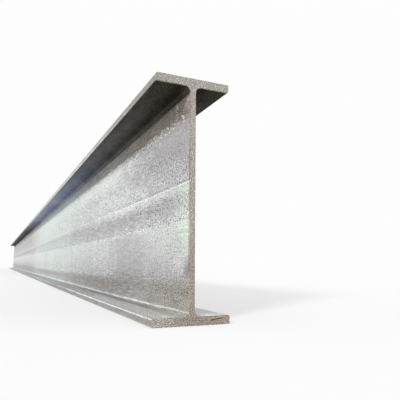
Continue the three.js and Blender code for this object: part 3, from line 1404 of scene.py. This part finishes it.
@dataclass(frozen=True)
class SawnSteel:
    """A saw-cut end browned by damp air.

    The cut is matt and khaki grey, as coarse to the eye as sandstone, with dark specks and a redder tinge
    where damp collects low down. Its film of rust isn't metallic.

    Attributes:
        colours: What each tone looks like.
        tone: How light it is.
        grain: Size of the saw's torn grains in mm, drawn as coarse as they need to show.
        grain_reach: How much lighter and darker they are.
        clouds: Size of two sizes of cloud in mm, and how far they move the tone.
        inward: Where the redder side begins, in mm from the middle, and how far its edge fades.
        low: Height in mm up to which it is a little pinker there, and how far that fades.
        low_wash: The pinker tinge.
        damp: Height in mm up to which damp reddened it in patches, and how far that fades.
        damp_wash: The redder tinge.
        damp_patch: Size of the patches in mm, and how strongly they come and go.
        damp_edge: Level at which a patch begins, and how far its edge fades.
        seam: The seam in the lower flange's end, from and to, in mm from the middle.
        seam_height: How high it starts, in mm.
        seam_rise: How much it rises with each mm outwards.
        seam_width: How wide it is, in mm.
        seam_fades: How far its ends and its edges fade, in mm.
        seam_wander: Size of the lumps by which it wanders, and how far, in mm.
        seam_shift: How much darker it is.
        lip_shift: How much lighter the lip over it is.
        bump_strength: How strongly the grain stands out.
        bump_height: How high it stands, in metres.
        roughness: How matt it is.
    """

    colours: Shades = (
        (0.0, "#1F1B17"),
        (0.25, "#59524A"),
        (0.45, "#8E867D"),
        (0.58, "#ADA89F"),
        (0.75, "#CDC9C0"),
        (1.0, "#F3F1EB"),
    )
    tone: float = 0.575
    grain: float = 1.35
    grain_reach: float = 1.6
    clouds: tuple[tuple[float, float], ...] = ((5.0, 0.20), (30.0, 0.12))
    inward: tuple[float, float] = (-22.0, 36.0)
    low: tuple[float, float] = (110.0, 40.0)
    low_wash: str = "#F2ECEB"
    damp: tuple[float, float] = (22.0, 44.0)
    damp_wash: str = "#F0E3D6"
    damp_patch: tuple[float, float] = (7.0, 0.5)
    damp_edge: tuple[float, float] = (-0.02, 0.3)
    seam: tuple[float, float] = (25.5, 41.0)
    seam_height: float = 5.9
    seam_rise: float = 0.14
    seam_width: float = 1.3
    seam_fades: tuple[float, float] = (3.0, 0.4)
    seam_wander: tuple[float, float] = (8.0, 1.6)
    seam_shift: float = -0.5
    lip_shift: float = 0.12
    bump_strength: float = 0.5
    bump_height: float = 0.2 * MM
    roughness: float = 0.85

    def build(self, section: Section) -> bpy.types.Material:
        """Makes the finish of the sawn ends.

        Args:
            section: The rolled section, for where its faces lie.

        Returns:
            The material.
        """
        material = bare_material("weathered_sawn_steel")
        tree = material.node_tree
        place = SkinPlace(tree, section, 1.0)
        speckled = place.moved(self.tone, self.grain, self.grain_reach, detail=1.0)
        tone = speckled
        for size, reach in self.clouds:
            tone = place.moved(tone, size, reach)
        ramp = add_node(tree, "ShaderNodeValToRGB", {0: self._with_seam(place, tone)})
        colour: Fed = add_stops(ramp, [(at, linear_rgba(shade)) for at, shade in self.colours])
        start, fade = self.inward
        inner = place.between(place.side, start, BEYOND, fade)
        level, fade = self.damp_edge
        patches = place.between(place.moved(0.0, *self.damp_patch, detail=3.0), level, BEYOND, fade)
        for (top, fade), laid, fillings in (
            (self.low, self.low_wash, (inner,)),
            (self.damp, self.damp_wash, (inner, patches)),
        ):
            amount = place.between(place.height, BEFORE, top, fade)
            for filling in fillings:
                amount = add_node(tree, "ShaderNodeMath", {0: amount, 1: filling}, operation="MULTIPLY")
            washed = {"Factor": amount, "A": colour, "B": linear_rgba(laid)}
            colour = add_node(tree, "ShaderNodeMix", washed, **GLAZED)
        raised = {"Height": speckled, "Strength": self.bump_strength, "Distance": self.bump_height}
        shader = add_node(
            tree,
            "ShaderNodeBsdfPrincipled",
            {
                "Base Color": place.stained(colour, END_STAIN),
                "Roughness": self.roughness,
                "Normal": add_node(tree, "ShaderNodeBump", raised),
            },
        )
        add_node(tree, "ShaderNodeOutputMaterial", {"Surface": shader})
        return material

    def _with_seam(self, place: SkinPlace, tone: bpy.types.Node) -> bpy.types.Node:
        """Draws the thin dark seam where the lower flange's steel never welded to itself in the rolls.

        Args:
            place: Where on the beam the finish is.
            tone: The tone so far.

        Returns:
            The tone with the seam, and the pale lip over it.
        """
        tree = place.tree
        start, stop = self.seam
        outward = add_node(tree, "ShaderNodeMath", {0: place.side, 1: start}, operation="SUBTRACT")
        falling = {0: outward, 1: -self.seam_rise, 2: place.height}
        level = add_node(tree, "ShaderNodeMath", falling, operation="MULTIPLY_ADD")
        level = place.moved(level, *self.seam_wander)
        end_fade, edge_fade = self.seam_fades
        along = place.between(place.side, start, stop, end_fade)
        half = self.seam_width / 2
        for middle, shift in (
            (self.seam_height, self.seam_shift),
            (self.seam_height + self.seam_width, self.lip_shift),
        ):
            line = place.between(level, middle - half, middle + half, edge_fade)
            drawn = add_node(tree, "ShaderNodeMath", {0: line, 1: along}, operation="MULTIPLY")
            tone = add_node(tree, "ShaderNodeMath", {0: drawn, 1: shift, 2: tone}, operation="MULTIPLY_ADD")
        return tone


@dataclass(frozen=True)
class Lamp:
    """A lamp so far off that its light is even over the whole beam.

    Attributes:
        name: Its name.
        towards: Which way it lies, seen from the beam.
        strength: How bright it is.
        spread_deg: How wide it looks, which makes its shadows soft.
    """

    name: str
    towards: tuple[float, float, float]
    strength: float
    spread_deg: float

    def build(self) -> None:
        """Hangs the lamp."""
        data = bpy.data.lights.new(self.name, "SUN")
        data.energy = self.strength
        data.angle = math.radians(self.spread_deg)
        lamp = bpy.data.objects.new(self.name, data)
        lamp.rotation_mode = "QUATERNION"
        lamp.rotation_quaternion = Vector(self.towards).to_track_quat("Z", "Y")
        bpy.context.scene.collection.objects.link(lamp)


@dataclass(frozen=True)
class Studio:
    """Plain pale floor, soft light and the camera, low in front of the near end.

    Attributes:
        camera_at: Where the camera stands.
        yaw_deg: How far it is turned from straight along the beam.
        pitch_deg: How far it looks up.
        roll_deg: How far it leans.
        focal_px: Its focal length, in pixels of the render.
        clip: The nearest and the furthest that it sees.
        floor_side: Side of the square floor.
        backdrop_strength: How white the backdrop is to the eye, where 1 is white.
        ambient_strength: How much light comes from all round.
        floor_glow: Share of the seen floor that stays white even in the beam's shadow.
        floor_colour: The floor to the eye.
        floor_bounce_colour: The floor for the light that it throws back.
        lamps: The lamps.
    """

    camera_at: tuple[float, float, float] = (-0.2187, -3.4962, 0.0742)
    yaw_deg: float = 24.72
    pitch_deg: float = 8.27
    roll_deg: float = -0.24
    focal_px: float = 438.2
    clip: tuple[float, float] = (0.01, 500.0)
    floor_side: float = 120.0
    backdrop_strength: float = 0.985
    ambient_strength: float = 0.68
    floor_glow: float = 0.45
    floor_colour: str = "#FCFCFC"
    floor_bounce_colour: str = "#BCBBB9"
    lamps: tuple[Lamp, ...] = (
        Lamp("key_light", (-0.72, -0.52, 0.46), 1.75, 13.0),
        Lamp("fill_light", (0.75, -0.45, 0.50), 0.45, 60.0),
    )

    def build(self) -> None:
        """Makes the floor, the world, the lamps and the camera."""
        self._floor()
        self._world()
        for lamp in self.lamps:
            lamp.build()
        self._camera()
        bpy.context.scene.view_settings.view_transform = "Standard"

    def _seen(self, tree: bpy.types.NodeTree) -> bpy.types.Node:
        """Tells rays that show a surface, straight or mirrored, from those that only carry its light.

        Args:
            tree: The node tree of the floor's paint or of the world.

        Returns:
            1 for a ray that shows the surface and 0 for any other.
        """
        path = add_node(tree, "ShaderNodeLightPath").outputs
        reflected = {0: path["Is Glossy Ray"], 1: path["Is Transmission Ray"]}
        mirrored = add_node(tree, "ShaderNodeMath", reflected, operation="MAXIMUM")
        shown = {0: path["Is Camera Ray"], 1: mirrored}
        return add_node(tree, "ShaderNodeMath", shown, operation="MAXIMUM")

    def _floor(self) -> None:
        """Lays a wide level floor, white to the eye and grey for the light that it throws back."""
        half = self.floor_side / 2
        mesh = bpy.data.meshes.new("studio_floor")
        corners = [(-half, -half, 0.0), (half, -half, 0.0), (half, half, 0.0), (-half, half, 0.0)]
        mesh.from_pydata(corners, [], [(0, 1, 2, 3)])
        floor = bpy.data.objects.new("studio_floor", mesh)
        bpy.context.scene.collection.objects.link(floor)
        paint = bare_material("matt_white_floor_paint")
        tree = paint.node_tree
        bounce = add_node(tree, "ShaderNodeBsdfDiffuse", {"Color": linear_rgba(self.floor_bounce_colour)})
        white = add_node(tree, "ShaderNodeBsdfDiffuse", {"Color": linear_rgba(self.floor_colour)})
        shining = {"Color": linear_rgba("#FFFFFF"), "Strength": self.backdrop_strength}
        glow = add_node(tree, "ShaderNodeEmission", shining)
        seen = add_node(tree, "ShaderNodeMixShader", {0: self.floor_glow, 1: white, 2: glow})
        surface = add_node(tree, "ShaderNodeMixShader", {0: self._seen(tree), 1: bounce, 2: seen})
        add_node(tree, "ShaderNodeOutputMaterial", {"Surface": surface})
        mesh.materials.append(paint)

    def _world(self) -> None:
        """Puts white behind everything, and a soft even light all round."""
        world = bpy.data.worlds.new("studio_world")
        bpy.context.scene.world = world
        world.use_nodes = True
        tree = world.node_tree
        tree.nodes.clear()
        levels = {
            "Value": self._seen(tree),
            "To Min": self.ambient_strength,
            "To Max": self.backdrop_strength,
        }
        strength = add_node(tree, "ShaderNodeMapRange", levels)
        shining = {"Color": linear_rgba("#FFFFFF"), "Strength": strength}
        light = add_node(tree, "ShaderNodeBackground", shining)
        add_node(tree, "ShaderNodeOutputWorld", {"Surface": light})

    def _camera(self) -> None:
        """Sets up the camera, looking up and along the beam."""
        yaw, pitch, roll = (math.radians(a) for a in (self.yaw_deg, self.pitch_deg, self.roll_deg))
        ahead = Vector((math.sin(yaw) * math.cos(pitch), math.cos(yaw) * math.cos(pitch), math.sin(pitch)))
        level = Vector((math.cos(yaw), -math.sin(yaw), 0.0))
        right = level * math.cos(roll) - level.cross(ahead) * math.sin(roll)
        data = bpy.data.cameras.new("camera")
        data.sensor_width = SENSOR_MM
        data.lens = self.focal_px * SENSOR_MM / PICTURE_SIDE_PX
        data.clip_start, data.clip_end = self.clip
        camera = bpy.data.objects.new("camera", data)
        camera.matrix_world = Matrix((right, right.cross(ahead), -ahead)).transposed().to_4x4()
        camera.location = self.camera_at
        bpy.context.scene.collection.objects.link(camera)
        bpy.context.scene.camera = camera


def main() -> None:
    """Builds the beam and the studio, and notes how many faces the beam has."""
    logging.basicConfig(level=logging.INFO, format="%(name)s: %(message)s")
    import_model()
    section = Section.from_frame()
    finishes = {
        "Rolled Skin": MillScale().build(section),
        "Sheltered Skin": ShelteredScale().build(section),
        "Sawn End": SawnSteel().build(section),
    }
    beam = RolledBeam(section, finishes).build()
    LOG.info("%s: %d faces, replaces %s", beam.name, len(beam.data.polygons), CAD_NODE)
    Studio().build()
    LOG.info("studio ready")


if __name__ == "__main__":
    main()
